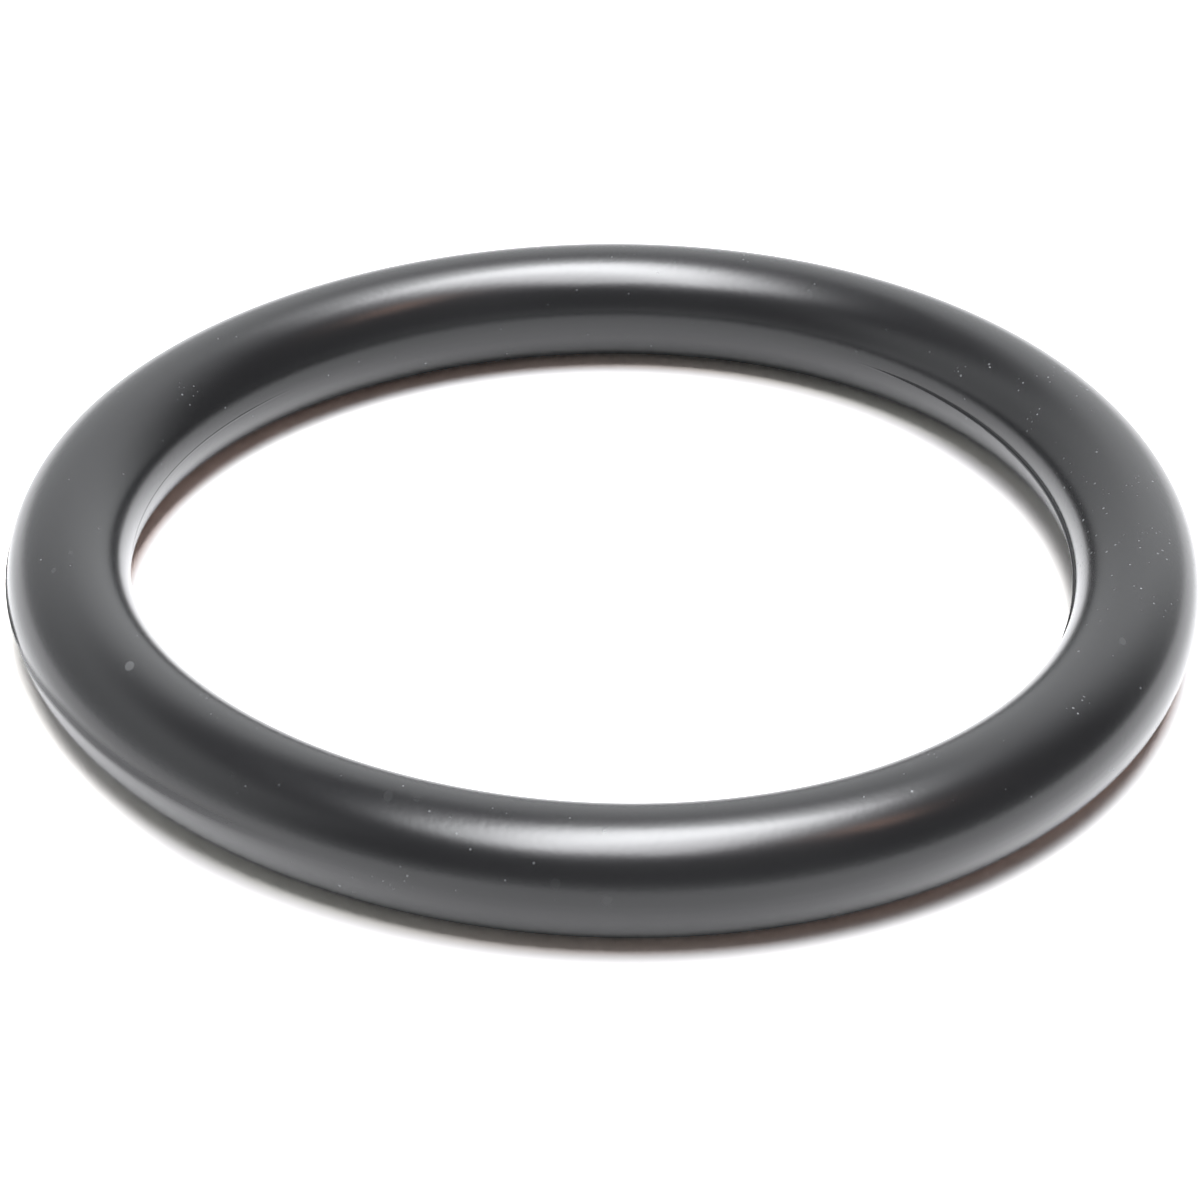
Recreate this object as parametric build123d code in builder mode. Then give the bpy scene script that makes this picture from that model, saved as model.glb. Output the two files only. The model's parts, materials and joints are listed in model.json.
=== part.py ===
from build123d import *
import os

# Fuel pump gasket: a moulded rubber ring of round section, lying flat.
#
# Sizes are in millimetres and +Z is up. The origin is the ring's centre, on the surface that it lies on.
# Two mould halves meet at half the ring's height. Where they close on each other the rubber keeps a fine
# ridge, the parting line, all round the inside and the outside.

# The ring
inner_diameter = 54.0  # of the round section, without the ridge
section_diameter = 7.0

# The parting line's ridge
ridge_height = 0.15  # how far it stands out of the round section
ridge_width = 0.35
ridge_crest_radius = 0.05  # rounds the corners of its crest
ridge_root_radius = 0.05  # rounds the corners where it leaves the round section

# Worked out from the sizes above
section_radius = section_diameter / 2
centre_line_radius = inner_diameter / 2 + section_radius


def distance_from_centre_line(corner):
    return abs(corner.X - centre_line_radius)


with BuildPart() as seal_ring:
    with BuildSketch(Plane.XZ) as section:
        with Locations((centre_line_radius, section_radius)):
            Circle(section_radius)
            Rectangle(section_diameter + 2 * ridge_height, ridge_width)
        fillet(section.vertices().sort_by(distance_from_centre_line)[-4:], ridge_crest_radius)
        fillet(section.vertices().sort_by(distance_from_centre_line)[:4], ridge_root_radius)
    revolve(axis=Axis.Z)
seal_ring.part.label = "seal_ring"

os.makedirs("parts", exist_ok=True)
export_step(seal_ring.part, "parts/seal_ring.step")
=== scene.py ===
import json
import math

import bpy
from mathutils import Matrix, Vector


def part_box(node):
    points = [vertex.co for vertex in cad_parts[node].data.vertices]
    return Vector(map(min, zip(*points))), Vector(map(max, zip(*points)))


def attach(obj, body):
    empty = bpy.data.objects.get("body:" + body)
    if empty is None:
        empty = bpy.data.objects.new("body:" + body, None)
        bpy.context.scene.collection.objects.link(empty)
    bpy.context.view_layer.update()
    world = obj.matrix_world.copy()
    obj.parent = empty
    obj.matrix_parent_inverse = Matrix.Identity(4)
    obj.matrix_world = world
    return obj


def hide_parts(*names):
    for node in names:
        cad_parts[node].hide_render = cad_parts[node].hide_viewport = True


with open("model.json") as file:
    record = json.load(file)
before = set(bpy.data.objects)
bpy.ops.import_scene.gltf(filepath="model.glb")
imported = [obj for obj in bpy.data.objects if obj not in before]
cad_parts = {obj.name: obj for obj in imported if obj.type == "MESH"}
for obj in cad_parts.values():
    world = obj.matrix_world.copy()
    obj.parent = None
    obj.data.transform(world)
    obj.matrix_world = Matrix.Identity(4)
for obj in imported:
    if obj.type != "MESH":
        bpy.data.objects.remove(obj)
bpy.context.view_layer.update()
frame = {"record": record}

# +X is the right and +Y the back. Azimuths are in degrees from +X towards +Y, and section angles in
# degrees up from the outside. Between a low and a high value in brackets, something comes in or fades.
MM = 0.001
QUARTER_TURN = 90.0
HALF_TURN = 180.0
WHOLE_TURN = 360.0

# The mesh of the ring
STEPS_ROUND_THE_RING = 720
STEPS_ROUND_THE_SECTION = 64
STEPS_ACROSS_A_RIDGE = 14
CLOSE_STEPS_REACH = 1.6  # to each side of a ridge, in its half widths

# Lying loose, the soft ring isn't quite round: it has a few faint swells.
SWELLS = 3
SWELL_HEIGHT = 0.3 * MM
FIRST_SWELL = 57.0

# The parting line's ridge, as trimming left it. Each stretch has its middle, its half width and the
# share of the ridge's height that stands there. Elsewhere it was cut flush.
INNER_STRETCHES = ((0.0, 58.0, 1.0), (160.0, 26.0, 0.14))
OUTER_STRETCHES = ((184.0, 16.0, 0.65),)
STRETCH_KEEPS_HEIGHT = 0.6  # share of a stretch's half width, from its middle
RIDGE_FOOT = 1.2  # the ridge's width at its foot, in widths of its flat land
RIDGE_FLAT_TOP = 0.6  # share of the ridge's half width
LOW_RIDGE_WIDTH = 0.35  # share of its width that the ridge keeps where it is nearly cut flush
WHOLE_RIDGE_FROM = 0.5  # share of its height from which the ridge has its whole width

# The knife took more off the inner ridge's lower side past each of two small steps.
KNIFE_STEPS = (28.0, 33.2)
KNIFE_STEP_LENGTH = 0.08
KNIFE_BITE = 0.4  # share of the ridge's half width that each step takes

# The soft matt band that cutting the outer ridge flush has left. Each climb has the azimuths where it
# begins and ends, and its rise in degrees of the section.
SCRAPED_START = (188.0, 196.0)
SCRAPED_END = (212.0, 262.0)
SCRAPED_FIRST_ANGLE = -8.0
SCRAPED_CLIMBS = ((190.0, 212.0, 12.0), (212.0, 240.0, 3.0))
SCRAPED_REACH = 13.0  # degrees of the section, to each side of the band's middle
SCRAPED_MATT = 0.74

# Rubber, cut rubber and dust
DARK_RUBBER = (0.010, 0.010, 0.0115)
PALE_RUBBER = (0.017, 0.017, 0.018)
CUT_RUBBER = (0.012, 0.012, 0.013)
SPECK_DUST = (0.60, 0.62, 0.64)
DOT_DUST = (0.75, 0.77, 0.78)
SPECK_COVER = 0.7
DOT_COVER = 0.14
CLOUD_SIZE = 9 * MM
GRAIN_SIZE = 0.35 * MM
GRAIN_HEIGHT = 0.1 * MM
GRAIN_STRENGTH = 0.04
RUBBER_ROUGHNESS = 0.21
CLOUD_ROUGHNESS = 0.06
GRAIN_ROUGHNESS = 0.02
DUST_ROUGHNESS = 0.3
RUBBER_IOR = 1.6
CUT_ROUGHNESS = 0.8
CUT_IOR = 1.3
CUT_EDGE = (0.1, 0.8)
CUT_COVER = 0.7

# Fine specks lie in little groups, and crowd together on the right of the crown. A group or a speck is
# there where its random number, with what its surroundings add to it, is in the span or over it.
CROWD_RIGHT = (18 * MM, 29 * MM)
CROWD_FRONT = (-13 * MM, -8 * MM)
CROWD_BACK = (17 * MM, 23 * MM)
GROUP_SPACING = 2.1 * MM
GROUP_EDGE = (0.36, 0.50)  # in spacings from its middle
GROUP_CHOICE = (0.93, 0.97)
CROWD_ADDS_GROUPS = 0.7
SPECK_SPACING = 0.36 * MM
SPECK_RADIUS = 0.15  # in spacings, as is the next one
SPECK_RADIUS_RANGE = 0.12
SPECK_EDGE = (0.6, 1.0)  # in radii
SPECK_CHOICE = (0.97, 0.98)
GROUP_ADDS_SPECKS = 0.7
CROWD_ADDS_SPECKS = 0.04
FAINTEST_SPECK = 0.12

# Bigger grains have settled as pale dots. Each has its azimuth, section angle, diameter in mm and
# strength.
DUST_DOTS = (
    (213.9, 82.0, 0.55, 1.0),
    (193.8, 73.0, 0.32, 0.30),
    (191.2, 92.0, 0.26, 0.25),
    (248.9, 77.0, 0.55, 0.16),
    (251.6, 83.0, 0.50, 0.10),
    (265.9, 23.0, 0.60, 0.10),
    (270.4, 10.0, 0.60, 0.14),
    (301.6, 100.0, 0.50, 0.08),
    (334.1, 78.0, 0.45, 0.30),
)
DOT_EDGE = (0.36, 0.55)  # in diameters
DOT_SHRINK = Vector((1.0, 0.6, 1.0))  # makes room for dots that are longer from front to back

# The white table, and how bright the rubber mirrors it, in shares of the brightest. This mirrored
# brightness is painted light: brighter close to the ring and beside it.
TABLE_SIZE = 8.0
TABLE_FOR_MATT = (0.88, 0.88, 0.88)
BLACK = (0.0, 0.0, 0.0)
WHITE = (1.0, 1.0, 1.0)
BRIGHTEST_TABLE = (3.0, 3.0, 3.0)
# painted light: the table as mirrored, brighter close to the ring and to the left and right
TABLE_BRIGHTNESS = 0.59
CLOSE_ADDS = 0.06
BESIDE_ADDS = 0.07
CLOSE_AND_BESIDE_ADDS = 0.18
CLOSE_UP_TO = (6 * MM, 16 * MM)  # from the ring's centre line
BESIDE_FROM = (6 * MM, 28 * MM)  # to the right or left of the ring's axis

# The table as it is seen. Colours over 1 bring all of it up to plain white but the ring's short shadow.
# Close to the ring the colour changes, which paints the shadow's depth and its brown and greenish tints,
# and lightens it far to the left.
OPEN_TABLE = (2.12, 2.08, 2.06)
OPEN_TABLE_FROM = (1.9 * MM, 2.95 * MM)  # from the ring's centre line
# painted shade: the table's colour near the ring sets the shadow's depth, brown where it faces right and
# greenish where it faces left
SHADOW_FACING_LEFT = (3.15, 3.1, 2.85)
SHADOW_FACING_RIGHT = (3.2, 2.3, 1.95)
LEFT_TO_RIGHT = (-0.6, 0.6)
# painted light: a lighter shadow where it faces far to the left
SHADOW_FAR_LEFT = (4.0, 3.9, 3.7)
FAR_LEFT_FROM = (0.7, 1.05)
INSIDE_TO_OUTSIDE = (-1.0 * MM, 1.0 * MM)  # from the ring's centre line

# The lamp overhead, and its glow in what mirrors it. The glow is laid out on a dome of radius 1, as it
# is seen from straight above.
LAMP_HEIGHT = 2.0
LAMP_PLACE = (0.15, -0.18)  # to the right and to the back
LAMP_LENGTH = 1.75
LAMP_WIDTH = 0.9
LAMP_TURN = 75.0  # the azimuth of its long side
LAMP_RADIANCE = 9.05
LAMP_COLOUR = (0.97, 0.975, 1.0)
GLOW_TURN = 48.3  # the azimuth of the long side of its glow
GLOW_BEND = 1.47  # how far its long side bends, times its length cubed
GLOW_RIGHT_EDGE = (-0.17, -0.03)
GLOW_LEFT_EDGE = (0.155, 0.29)
GLOW_ENDS = (0.32, 0.6)
GLOW_BRIGHTNESS = 8.5
GLOW_MIDDLE = (0.16, 0.0, 0.0)
GLOW_MIDDLE_EDGE = (0.2, 0.4)
GLOW_MIDDLE_BRIGHTNESS = 2.6

# The room, on the same dome. The dim room, the walls and the skirting each have a brightness straight
# up, and what it gains to the right and to the back.
DIM_ROOM = (0.21, 0.0, -0.11)
WALLS = (1.75, 0.47, -0.54)
WALLS_BOW = 0.64  # what the walls lose at the far right and left
WALLS_MIDDLE = 120.56  # the azimuth that the bright walls face the table from
WALLS_EDGE = (-0.27, 0.571)
CEILING_FROM = (0.55, 0.9)
CEILING_FADES_RIGHT = 0.75
SKIRTING = (0.19, -0.14, -0.39)
SKIRTING_UP_TO = (0.02, 0.3)
WARM_PATCH = (0.53, -0.22, 0.0)
WARM_PATCH_EDGE = (0.02, 0.155)
WARM_PATCH_BRIGHTNESS = 2.5
ROOM_TINT = (0.98, 1.0, 1.02)
WARM_TINT = (1.5, 0.84, 0.6)
LIGHT_FOR_MATT = 0.12  # share of the room's brightness that matt surfaces get

# The camera
LENS_MM = 132.56
SENSOR_MM = 36.0
CAMERA_DISTANCE = 253.5 * MM
CAMERA_ELEVATION = 32.12
CAMERA_TILT = 32.70
CAMERA_PAN = 0.12
CAMERA_ROLL = 0.63


def smooth(low, high, value):
    """0 below low, 1 above high, and an even curve between them."""
    t = min(1.0, max(0.0, (value - low) / (high - low)))
    return t * t * (3.0 - 2.0 * t)


def turned_from(angle, other):
    """The turn between two angles in degrees, from 0 to a half turn."""
    return abs((angle - other + HALF_TURN) % WHOLE_TURN - HALF_TURN)


class Value:
    """A shader socket's value. Sums on it add Math nodes to its tree."""

    def __init__(self, shader, socket):
        self.shader = shader
        self.socket = socket

    def math(self, operation, *values, clamp=False):
        settings = {"operation": operation, "use_clamp": clamp}
        sockets = dict(enumerate((self, *values)))
        return self.shader.node("ShaderNodeMath", settings, sockets)["Value"]

    def __add__(self, other):
        return self.math("ADD", other)

    def __radd__(self, other):
        return self.math("ADD", other)

    def __sub__(self, other):
        return self.math("SUBTRACT", other)

    def __rsub__(self, other):
        return -self + other

    def __mul__(self, other):
        return self.math("MULTIPLY", other)

    def __rmul__(self, other):
        return self.math("MULTIPLY", other)

    def __truediv__(self, other):
        return self.math("DIVIDE", other)

    def __neg__(self):
        return self.math("MULTIPLY", -1.0)

    def __abs__(self):
        return self.math("ABSOLUTE")

    def clamped(self):
        return self.math("ADD", 0.0, clamp=True)

    def over(self, low, high):
        """0 where the value is below low, 1 where it is above high, and an even curve between them."""
        settings = {"interpolation_type": "SMOOTHSTEP"}
        sockets = {"Value": self, "From Min": low, "From Max": high}
        return self.shader.node("ShaderNodeMapRange", settings, sockets)["Result"]


class Shader:
    """The node tree of a material or of the world."""

    def __init__(self, owner):
        owner.use_nodes = True
        self.tree = owner.node_tree
        self.tree.nodes.clear()

    def node(self, kind, settings=None, sockets=None):
        """Adds a node and returns its outputs by name. Its settings are set before its sockets."""
        node = self.tree.nodes.new(kind)
        for name, setting in (settings or {}).items():
            setattr(node, name, setting)
        for name, value in (sockets or {}).items():
            self.feed(node.inputs[name], value)
        return {output.name: Value(self, output) for output in node.outputs if output.enabled}

    def feed(self, socket, value):
        """Links a value to a socket, or sets a number, a vector or a colour's red, green and blue."""
        if isinstance(value, Value):
            self.tree.links.new(value.socket, socket)
        elif socket.type == "RGBA":
            socket.default_value = (*value, 1.0)
        else:
            socket.default_value = value

    def mixed(self, share, first, second):
        """The first colour where share is 0, and the second where it is 1."""
        factor, a, b = 0, 6, 7  # a Mix node's sockets for colours
        sockets = {factor: share, a: first, b: second}
        return self.node("ShaderNodeMix", {"data_type": "RGBA"}, sockets)["Result"]

    def background(self, strength, tint):
        return self.node("ShaderNodeBackground", None, {"Strength": strength, "Color": tint})["Background"]

    def mixed_surfaces(self, share, first, second):
        """The first surface where share is 0, and the second where it is 1."""
        return self.node("ShaderNodeMixShader", None, {0: share, 1: first, 2: second})["Shader"]

    def noise(self, place, size, detail):
        """Noise from 0 to 1, whose lumps are about size metres across."""
        sockets = {"Vector": place, "Scale": 1.0 / size, "Detail": detail}
        return self.node("ShaderNodeTexNoise", None, sockets)["Fac"]

    def cells(self, place, spacing):
        """Cells about spacing metres across: the way to the middle of one, and its random numbers."""
        cells = self.node("ShaderNodeTexVoronoi", None, {"Vector": place, "Scale": 1.0 / spacing})
        return cells["Distance"], *self.parts(cells["Color"])

    def parts(self, vector):
        """A vector's X, Y and Z."""
        sides = self.node("ShaderNodeSeparateXYZ", None, {"Vector": vector})
        return sides["X"], sides["Y"], sides["Z"]

    def stretched(self, vector, scale):
        """A vector with its X, Y and Z multiplied by those of scale."""
        settings = {"operation": "MULTIPLY"}
        return self.node("ShaderNodeVectorMath", settings, {0: vector, 1: scale})["Vector"]

    def distance(self, place, point):
        settings = {"operation": "DISTANCE"}
        return self.node("ShaderNodeVectorMath", settings, {0: place, 1: point})["Value"]


class RingSizes:
    """The ring's sizes, read from its node and its record."""

    def __init__(self):
        low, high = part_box("seal_ring")
        mounts = {mount["name"]: mount["dims"] for mount in frame["record"]["mounts"]}
        inner = mounts["inner_parting_land"]["r_mm"] * MM
        outer = mounts["outer_parting_land"]["r_mm"] * MM
        land = mounts["outer_parting_land"]["length_mm"] * MM
        self.section_radius = (high[2] - low[2]) / 2
        self.middle_height = (high[2] + low[2]) / 2
        self.ring_radius = (inner + outer) / 2
        self.ridge_height = (outer - inner) / 2 - self.section_radius
        self.ridge_half_width = RIDGE_FOOT * land / 2

    def centre_line(self, azimuth):
        """The centre line's point at an azimuth, and the way out from it there."""
        turn = math.radians(azimuth)
        swell = SWELLS * math.radians(azimuth - FIRST_SWELL)
        radius = self.ring_radius + SWELL_HEIGHT * math.cos(swell)
        slope = -SWELLS * SWELL_HEIGHT * math.sin(swell)
        away = Vector((math.cos(turn), math.sin(turn), 0))
        along = Vector((-math.sin(turn), math.cos(turn), 0))
        middle = radius * away + Vector((0, 0, self.middle_height))
        return middle, (radius * away - slope * along).normalized()

    def on_the_ring(self, azimuth, angle):
        """The point of the round surface at an azimuth and a section angle."""
        middle, out = self.centre_line(azimuth)
        up = Vector((0, 0, 1))
        turn = math.radians(angle)
        return middle + self.section_radius * (math.cos(turn) * out + math.sin(turn) * up)


def standing_share(azimuth, stretches):
    """How much of the ridge's height trimming has left at an azimuth."""
    share = 0.0
    for middle, half_width, height in stretches:
        away = turned_from(azimuth, middle)
        share = max(share, height * (1.0 - smooth(STRETCH_KEEPS_HEIGHT * half_width, half_width, away)))
    return share


def knife_share(azimuth):
    """How much of the inner ridge's lower half the knife has left at an azimuth."""
    return 1.0 - KNIFE_BITE * sum(1 for step in KNIFE_STEPS if step < azimuth < HALF_TURN)


def scraped_share(azimuth, angle):
    """How matt cutting the outer ridge flush has left the rubber there: a soft band that climbs a
    little and fades towards the front."""
    climbs = (rise * smooth(low, high, azimuth) for low, high, rise in SCRAPED_CLIMBS)
    away = turned_from(angle, sum(climbs, SCRAPED_FIRST_ANGLE))
    ends = smooth(*SCRAPED_START, azimuth) * (1.0 - smooth(*SCRAPED_END, azimuth))
    return SCRAPED_MATT * ends * (1.0 - smooth(0.0, SCRAPED_REACH, away))


def ring_azimuths():
    """Even steps round the ring, and two more at each knife step, so that it stays sharp."""
    even = [WHOLE_TURN * step / STEPS_ROUND_THE_RING for step in range(STEPS_ROUND_THE_RING)]
    sharp = [step + side * KNIFE_STEP_LENGTH / 2 for step in KNIFE_STEPS for side in (-1, 1)]
    return sorted(even + sharp)


def section_angles(sizes):
    """Angles round the section from the outside, over the top, to the inside and back. They lie
    closer together across the two ridges."""
    close = math.degrees(CLOSE_STEPS_REACH * sizes.ridge_half_width / sizes.section_radius)
    close_steps = STEPS_ACROSS_A_RIDGE // 2
    coarse_steps = STEPS_ROUND_THE_SECTION // 2
    outside = [close * step / close_steps for step in range(close_steps)]
    over = [close + (HALF_TURN - 2 * close) * step / coarse_steps for step in range(coarse_steps + 1)]
    inside = [HALF_TURN - close + close * step / close_steps for step in range(1, close_steps)]
    half = outside + over + inside
    return half + [angle + HALF_TURN for angle in half]


def section_point(sizes, azimuth, angle):
    """A point of the section, as its distances out from and up from the section's centre, and how
    matt the knife has left the rubber there."""
    out = sizes.section_radius * math.cos(math.radians(angle))
    up = sizes.section_radius * math.sin(math.radians(angle))
    half_width = sizes.ridge_half_width
    if out < 0 and up < 0:
        half_width *= knife_share(azimuth)
    share = standing_share(azimuth, OUTER_STRETCHES if out > 0 else INNER_STRETCHES)
    whole = min(1.0, share / WHOLE_RIDGE_FROM)
    half_width *= LOW_RIDGE_WIDTH + (1.0 - LOW_RIDGE_WIDTH) * whole
    crest = 1.0 - smooth(RIDGE_FLAT_TOP * half_width, half_width, abs(up))
    stands = sizes.ridge_height * share * crest
    matt = max(whole * crest, scraped_share(azimuth, angle))
    return out + math.copysign(stands, out), up, matt


def make_rubber_ring(sizes):
    """The whole ring as one closed mesh, with the parting line's ridge on it."""
    azimuths = ring_azimuths()
    angles = section_angles(sizes)
    count = len(angles)
    points, cut = [], []
    for azimuth in azimuths:
        middle, way_out = sizes.centre_line(azimuth)
        for angle in angles:
            out, up, matt = section_point(sizes, azimuth, angle)
            points.append(middle + out * way_out + Vector((0, 0, up)))
            cut.append(matt)
    faces = []
    for step in range(len(azimuths)):
        here, there = step * count, (step + 1) % len(azimuths) * count
        for low in range(count):
            high = (low + 1) % count
            faces.append((here + low, there + low, there + high, here + high))
    mesh = bpy.data.meshes.new("rubber_ring")
    mesh.from_pydata(points, [], faces)
    mesh.shade_smooth()
    mesh.attributes.new("cut", "FLOAT", "POINT").data.foreach_set("value", cut)
    ring = bpy.data.objects.new("rubber_ring", mesh)
    bpy.context.scene.collection.objects.link(ring)
    return ring


def dust_specks(shader, place):
    """Fine pale specks in little groups, from 0 to 1: many on the right of the crown, few elsewhere."""
    right, back, _ = shader.parts(place)
    crowd = right.over(*CROWD_RIGHT) * back.over(*CROWD_FRONT) * (1.0 - back.over(*CROWD_BACK))
    from_group, group_pick, _, _ = shader.cells(place, GROUP_SPACING)
    group_there = (group_pick + CROWD_ADDS_GROUPS * crowd).over(*GROUP_CHOICE)
    group = (1.0 - from_group.over(*GROUP_EDGE)) * group_there
    from_speck, pick, strength, size = shader.cells(place, SPECK_SPACING)
    speck_there = (pick + GROUP_ADDS_SPECKS * group + CROWD_ADDS_SPECKS * crowd).over(*SPECK_CHOICE)
    radius = SPECK_RADIUS + SPECK_RADIUS_RANGE * size
    speck = 1.0 - (from_speck / radius).over(*SPECK_EDGE)
    return speck * speck_there * (FAINTEST_SPECK + (1.0 - FAINTEST_SPECK) * strength * strength)


def settled_dots(shader, place, sizes):
    """Pale dots where bigger grains of dust have settled, a little longer from front to back."""
    shrunk = shader.stretched(place, DOT_SHRINK)
    dots = []
    for azimuth, angle, diameter, strength in DUST_DOTS:
        away = shader.distance(shrunk, sizes.on_the_ring(azimuth, angle) * DOT_SHRINK)
        dots.append(strength * (1.0 - (away / (diameter * MM)).over(*DOT_EDGE)))
    return sum(dots)


def rubber_skin(shader, place, sizes):
    """The moulded rubber's skin: a soft even sheen, slight clouding, fine grain and a little dust."""
    cloud = shader.noise(place, CLOUD_SIZE, detail=3.0)
    grain = shader.noise(place, GRAIN_SIZE, detail=2.0)
    dust = dust_specks(shader, place)
    dots = settled_dots(shader, place, sizes)
    rubber = shader.mixed(cloud, DARK_RUBBER, PALE_RUBBER)
    dotted = shader.mixed(DOT_COVER * dots, rubber, DOT_DUST)
    dusty = shader.mixed(SPECK_COVER * dust, dotted, SPECK_DUST)
    rough = RUBBER_ROUGHNESS + CLOUD_ROUGHNESS * cloud + GRAIN_ROUGHNESS * grain + DUST_ROUGHNESS * dust
    relief = {"Height": grain, "Strength": GRAIN_STRENGTH, "Distance": GRAIN_HEIGHT}
    bump = shader.node("ShaderNodeBump", None, relief)["Normal"]
    finish = {"Base Color": dusty, "Roughness": rough, "IOR": RUBBER_IOR, "Normal": bump}
    return shader.node("ShaderNodeBsdfPrincipled", None, finish)["BSDF"]


def cut_face(shader):
    """Matt rubber where a knife has cut it."""
    finish = {"Base Color": CUT_RUBBER, "Roughness": CUT_ROUGHNESS, "IOR": CUT_IOR}
    return shader.node("ShaderNodeBsdfPrincipled", None, finish)["BSDF"]


def black_rubber(sizes):
    """Black rubber, moulded, with the matt traces of the knife along the parting line."""
    material = bpy.data.materials.new("black_rubber")
    shader = Shader(material)
    place = shader.node("ShaderNodeTexCoord")["Object"]
    cut = shader.node("ShaderNodeAttribute", {"attribute_name": "cut"})["Fac"].over(*CUT_EDGE)
    skin = rubber_skin(shader, place, sizes)
    surface = shader.mixed_surfaces(CUT_COVER * cut, skin, cut_face(shader))
    shader.node("ShaderNodeOutputMaterial", None, {"Surface": surface})
    return material


def second_hand(ray):
    """1 for what is seen in glossy surfaces or through clear ones."""
    return ray["Is Glossy Ray"] + ray["Is Transmission Ray"]


def mirrored_table(shader, right, from_ring):
    """The table as the rubber mirrors it, with painted light: brighter close to the ring and on the left
    and right than in front.
    """
    beside = abs(right).over(*BESIDE_FROM)
    close = 1.0 - abs(from_ring).over(*CLOSE_UP_TO)
    # painted light: the mirrored table brightened close to the ring and beside it
    bright = TABLE_BRIGHTNESS + CLOSE_ADDS * close + beside * (BESIDE_ADDS + CLOSE_AND_BESIDE_ADDS * close)
    return shader.mixed(bright, BLACK, BRIGHTEST_TABLE)


def seen_table(shader, right, from_ring, sizes):
    """The table as it is seen: plain white, with the ring's short shadow. Near the ring its colour paints
    the shadow's depth, a brown tint where it faces right, a greenish one where it faces left, and a
    lighter shadow far to the left."""
    outside = from_ring.over(*INSIDE_TO_OUTSIDE)
    faces_right = right / sizes.ring_radius * (2.0 * outside - 1.0)
    # painted shade: the shadow's brown and greenish tints and its depth near the ring
    shadow = shader.mixed(faces_right.over(*LEFT_TO_RIGHT), SHADOW_FACING_LEFT, SHADOW_FACING_RIGHT)
    table = shader.mixed(abs(from_ring).over(*OPEN_TABLE_FROM), shadow, OPEN_TABLE)
    # painted light: the shadow lightened where it faces far to the left
    return shader.mixed((-faces_right).over(*FAR_LEFT_FROM), table, SHADOW_FAR_LEFT)


def white_table(sizes):
    """A white table. Glossy surfaces mirror it brighter than it lights matt ones: painted light in what
    they mirror, and a painted tint and depth in the ring's shadow.
    """
    material = bpy.data.materials.new("white_table")
    shader = Shader(material)
    place = shader.node("ShaderNodeTexCoord")["Object"]
    ray = shader.node("ShaderNodeLightPath")
    right, _, _ = shader.parts(place)
    from_ring = shader.distance(place, (0, 0, 0)) - sizes.ring_radius
    unseen = shader.mixed(second_hand(ray), TABLE_FOR_MATT, mirrored_table(shader, right, from_ring))
    table = shader.mixed(ray["Is Camera Ray"], unseen, seen_table(shader, right, from_ring, sizes))
    surface = shader.node("ShaderNodeBsdfDiffuse", None, {"Color": table})["BSDF"]
    shader.node("ShaderNodeOutputMaterial", None, {"Surface": surface})
    return material


def make_floor(sizes):
    """A wide table top under the ring."""
    bpy.ops.mesh.primitive_plane_add(size=TABLE_SIZE, location=(0, 0, 0))
    floor = bpy.context.object
    floor.name = "floor"
    floor.data.materials.append(white_table(sizes))


def make_lamp():
    """An oblong soft lamp overhead, a little to the right and the front."""
    lamp = bpy.data.lights.new("soft_lamp", "AREA")
    lamp.shape = "RECTANGLE"
    lamp.size = LAMP_LENGTH
    lamp.size_y = LAMP_WIDTH
    lamp.energy = LAMP_RADIANCE * math.pi * LAMP_LENGTH * LAMP_WIDTH
    lamp.color = LAMP_COLOUR
    holder = bpy.data.objects.new("soft_lamp", lamp)
    holder.location = (*LAMP_PLACE, LAMP_HEIGHT)
    holder.rotation_euler = (0, 0, math.radians(LAMP_TURN))
    bpy.context.scene.collection.objects.link(holder)


def towards(azimuth, right, back):
    """How far a direction points towards an azimuth."""
    turn = math.radians(azimuth)
    return math.cos(turn) * right + math.sin(turn) * back


def graded(levels, right, back):
    """A brightness that changes evenly to the right and to the back."""
    level, to_right, to_back = levels
    return level + to_right * right + to_back * back


def from_heading(shader, direction, heading):
    """How far a direction lies from a heading, with both laid flat on the table."""
    return shader.distance(shader.stretched(direction, (1.0, 1.0, 0.0)), heading)


def lamp_glow(shader, direction):
    """The lamp's soft glow as glossy surfaces show it: an oblong that bends a little to the left at its
    back end, with a brighter round middle."""
    right, back, _ = shader.parts(direction)
    along = towards(GLOW_TURN, right, back)
    aside = towards(GLOW_TURN + QUARTER_TURN, right, back)
    bent = aside - GLOW_BEND * along * along * along
    across = bent.over(*GLOW_RIGHT_EDGE) * (1.0 - bent.over(*GLOW_LEFT_EDGE))
    oblong = across * (1.0 - abs(along).over(*GLOW_ENDS))
    middle = 1.0 - from_heading(shader, direction, GLOW_MIDDLE).over(*GLOW_MIDDLE_EDGE)
    return GLOW_BRIGHTNESS * oblong + GLOW_MIDDLE_BRIGHTNESS * middle


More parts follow.
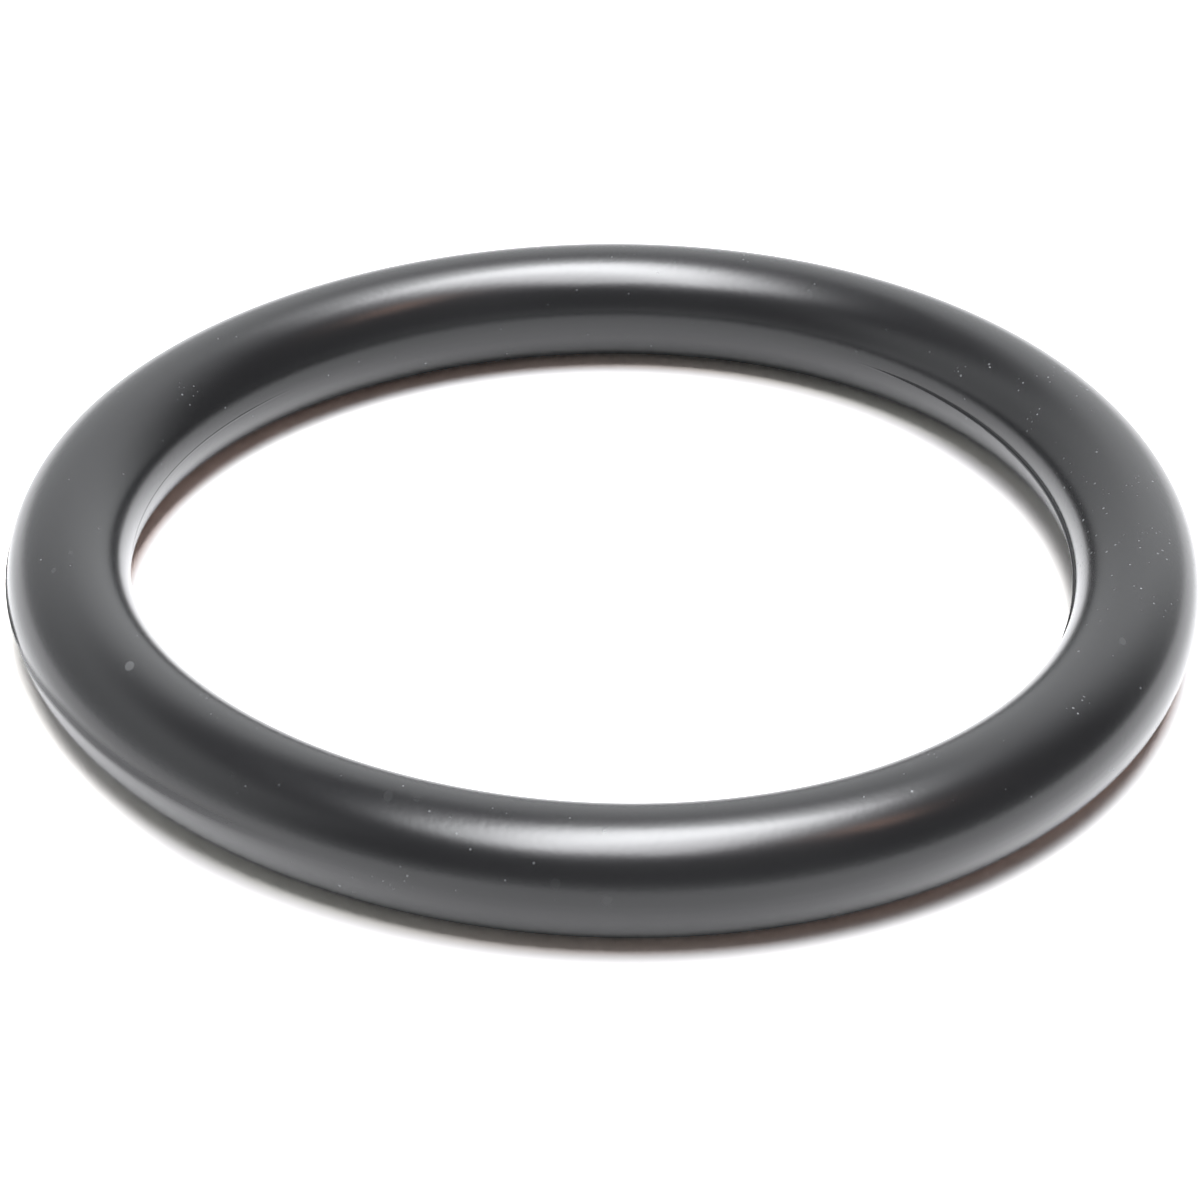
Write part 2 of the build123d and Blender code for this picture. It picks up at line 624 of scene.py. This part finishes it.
def room_brightness(shader, direction):
    """Bright walls behind and to the left of the table, brightest behind on the right, under a dimmer
    ceiling, and a dim room in front and to the right."""
    right, back, up = shader.parts(direction)
    walls = graded(WALLS, right, back) - WALLS_BOW * right * right
    walls = walls * towards(WALLS_MIDDLE, right, back).over(*WALLS_EDGE)
    ceiling = (up.over(*CEILING_FROM) * (1.0 - CEILING_FADES_RIGHT * right)).clamped()
    skirting = (1.0 - up.over(*SKIRTING_UP_TO)) * graded(SKIRTING, right, back)
    return graded(DIM_ROOM, right, back) + walls * (1.0 - ceiling) + skirting


def make_room():
    """A room round the table. Glossy and clear surfaces show all of it, with the lamp's glow and a warm
    patch beside that. Matt surfaces get a small even share of its light, and the camera sees white."""
    world = bpy.data.worlds.new("studio")
    bpy.context.scene.world = world
    shader = Shader(world)
    direction = shader.node("ShaderNodeTexCoord")["Generated"]
    ray = shader.node("ShaderNodeLightPath")
    brightness = room_brightness(shader, direction)
    warm = 1.0 - from_heading(shader, direction, WARM_PATCH).over(*WARM_PATCH_EDGE)
    shown = brightness + lamp_glow(shader, direction) + WARM_PATCH_BRIGHTNESS * warm
    for_matt = LIGHT_FOR_MATT * brightness
    strength = for_matt + second_hand(ray) * (shown - for_matt)
    room = shader.background(strength, shader.mixed(warm, ROOM_TINT, WARM_TINT))
    surface = shader.mixed_surfaces(ray["Is Camera Ray"], room, shader.background(1.0, WHITE))
    shader.node("ShaderNodeOutputWorld", None, {"Surface": surface})


def make_camera(sizes):
    """The camera, in front of the ring and above it, turned a little off its middle."""
    data = bpy.data.cameras.new("camera")
    data.lens = LENS_MM
    data.sensor_width = SENSOR_MM
    camera = bpy.data.objects.new("camera", data)
    elevation = math.radians(CAMERA_ELEVATION)
    away = CAMERA_DISTANCE * Vector((0, -math.cos(elevation), math.sin(elevation)))
    centre = Vector((0, 0, sizes.middle_height))
    pan = Matrix.Rotation(math.radians(CAMERA_PAN), 4, "Z")
    tilt = Matrix.Rotation(math.radians(QUARTER_TURN - CAMERA_TILT), 4, "X")
    roll = Matrix.Rotation(math.radians(CAMERA_ROLL), 4, "Z")
    camera.matrix_world = Matrix.Translation(centre + away) @ pan @ tilt @ roll
    bpy.context.scene.collection.objects.link(camera)
    bpy.context.scene.camera = camera


sizes = RingSizes()
make_camera(sizes)
ring = make_rubber_ring(sizes)
ring.data.materials.append(black_rubber(sizes))
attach(ring, "root")
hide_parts("seal_ring")
make_floor(sizes)
make_lamp()
make_room()
bpy.context.scene.view_settings.view_transform = "Standard"
